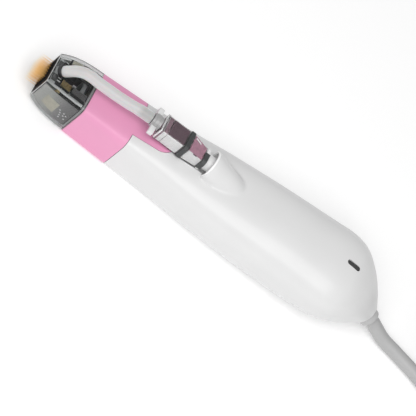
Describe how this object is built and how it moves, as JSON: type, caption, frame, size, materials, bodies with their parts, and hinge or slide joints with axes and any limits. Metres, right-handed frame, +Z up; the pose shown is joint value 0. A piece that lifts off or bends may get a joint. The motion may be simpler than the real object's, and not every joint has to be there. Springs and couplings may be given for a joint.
{
  "type": "radiofrequency microneedling handpiece",
  "caption": "Egg-shaped white handpiece with a pink sleeve, a smoky square needle cartridge, a suction hose to an in-line filter on top, and a rear cord.",
  "frame": {"origin": "on the table, under the middle of the device's box without its free cord", "axes": "+X from the needles to the cord, +Z up through the hose and the filter, the flat belly on z = 0"},
  "size_m": [0.4057, 0.074, 0.0515],
  "materials": {
    "main_housing": "gloss white moulding",
    "belly_cover": "gloss white moulding",
    "cover_screw_1": "machined",
    "cover_screw_2": "machined",
    "cover_screw_3": "machined",
    "cover_screw_4": "machined",
    "nose_sleeve": "satin pink moulding",
    "nose_bulkhead": "satin black moulding",
    "contact_block": "satin black moulding",
    "contact_pin_left": "gold plated",
    "contact_pin_right": "gold plated",
    "chassis": "satin grey moulding",
    "guide_rod_left": "machined",
    "guide_rod_right": "machined",
    "drive_motor": "satin black moulding",
    "control_board": "green lacquered board",
    "transformer": "satin black moulding",
    "light_pipe": "clear moulding",
    "status_lens": "satin black moulding",
    "nozzle_seal": "soft grey",
    "port_elbow": "satin grey moulding",
    "vacuum_tube": "clear moulding",
    "rf_lead_left": "satin pink moulding",
    "rf_lead_right": "satin pink moulding",
    "motor_lead": "satin black moulding",
    "wire_loom": "satin black moulding",
    "cord_gland": "soft grey",
    "cord_core": "satin black moulding",
    "cord_clamp": "machined",
    "cord_lead": "soft grey",
    "cord_hank": "soft grey",
    "cord_tail": "soft grey",
    "plug_boot": "soft grey",
    "plug_shell": "machined",
    "plug_insert": "gold plated",
    "cord_tie": "satin black moulding",
    "cartridge_shell": "clear smoky grey moulding",
    "cartridge_frame": "satin grey moulding",
    "needle_guide": "satin black moulding",
    "cartridge_base": "satin black moulding",
    "contact_strip_left": "gold plated",
    "contact_strip_right": "gold plated",
    "contact_pad_left": "gold plated",
    "contact_pad_right": "gold plated",
    "port_nipple": "satin grey moulding",
    "suction_hose": "soft grey",
    "hose_connector": "gloss white moulding",
    "filter_body_front": "clear moulding",
    "filter_band": "satin black moulding",
    "filter_membrane": "gloss white moulding",
    "filter_body_rear": "clear moulding",
    "nozzle_band": "satin black moulding",
    "filter_nozzle": "clear moulding",
    "return_spring": "machined",
    "needle_array": "gold plated",
    "needle_carrier": "satin black moulding",
    "push_rod": "machined",
    "drive_nut": "gloss white moulding",
    "lead_screw": "machined",
    "screw_coupling": "machined"
  },
  "bodies": {
    "handle": {"main_housing": "main_housing", "belly_cover": "belly_cover", "cover_screw_1": "cover_screw_1", "cover_screw_2": "cover_screw_2", "cover_screw_3": "cover_screw_3", "cover_screw_4": "cover_screw_4", "nose_sleeve": "nose_sleeve", "nose_bulkhead": "nose_bulkhead", "contact_block": "contact_block", "contact_pin_left": "contact_pin_left", "contact_pin_right": "contact_pin_right", "chassis": "chassis", "guide_rod_left": "guide_rod_left", "guide_rod_right": "guide_rod_right", "drive_motor": "drive_motor", "control_board": "control_board", "transformer": "transformer", "light_pipe": "light_pipe", "status_lens": "status_lens", "nozzle_seal": "nozzle_seal", "port_elbow": "port_elbow", "vacuum_tube": "vacuum_tube", "rf_lead_left": "rf_lead_left", "rf_lead_right": "rf_lead_right", "motor_lead": "motor_lead", "wire_loom": "wire_loom", "cord_gland": "cord_gland", "cord_core": "cord_core", "cord_clamp": "cord_clamp", "cord_lead": "cord_lead", "cord_hank": "cord_hank", "cord_tail": "cord_tail", "plug_boot": "plug_boot", "plug_shell": "plug_shell", "plug_insert": "plug_insert", "cord_tie": "cord_tie"},
    "tip_set": {"cartridge_shell": "cartridge_shell", "cartridge_frame": "cartridge_frame", "needle_guide": "needle_guide", "cartridge_base": "cartridge_base", "contact_strip_left": "contact_strip_left", "contact_strip_right": "contact_strip_right", "contact_pad_left": "contact_pad_left", "contact_pad_right": "contact_pad_right", "port_nipple": "port_nipple", "suction_hose": "suction_hose", "hose_connector": "hose_connector", "filter_body_front": "filter_body_front", "filter_band": "filter_band", "filter_membrane": "filter_membrane", "filter_body_rear": "filter_body_rear", "nozzle_band": "nozzle_band", "filter_nozzle": "filter_nozzle", "return_spring": "return_spring"},
    "needle_unit": {"needle_array": "needle_array", "needle_carrier": "needle_carrier"},
    "pusher": {"push_rod": "push_rod", "drive_nut": "drive_nut"},
    "drive_screw": {"lead_screw": "lead_screw", "screw_coupling": "screw_coupling"}
  },
  "joints": [
    {"name": "tip_release", "type": "slide", "parent": "handle", "child": "tip_set", "axis": [-1, 0, 0], "range_m": [0, 0.03]},
    {"name": "needle_slide", "type": "slide", "parent": "tip_set", "child": "needle_unit", "axis": [1, 0, 0], "range_m": [0, 0.008], "deforming": ["return_spring"]},
    {"name": "pusher_slide", "type": "slide", "parent": "handle", "child": "pusher", "axis": [1, 0, 0], "range_m": [0, 0.008]},
    {"name": "screw_turn", "type": "hinge", "parent": "handle", "child": "drive_screw", "pos_m": [-0.032, 0, 0.013], "axis": [1, 0, 0], "range_deg": [0, 1440]}
  ],
  "couplings": [
    {"joint": "screw_turn", "follows": "pusher_slide", "rad_per_m": 3141.6},
    {"joint": "needle_slide", "follows": "pusher_slide", "ratio": 1}
  ]
}
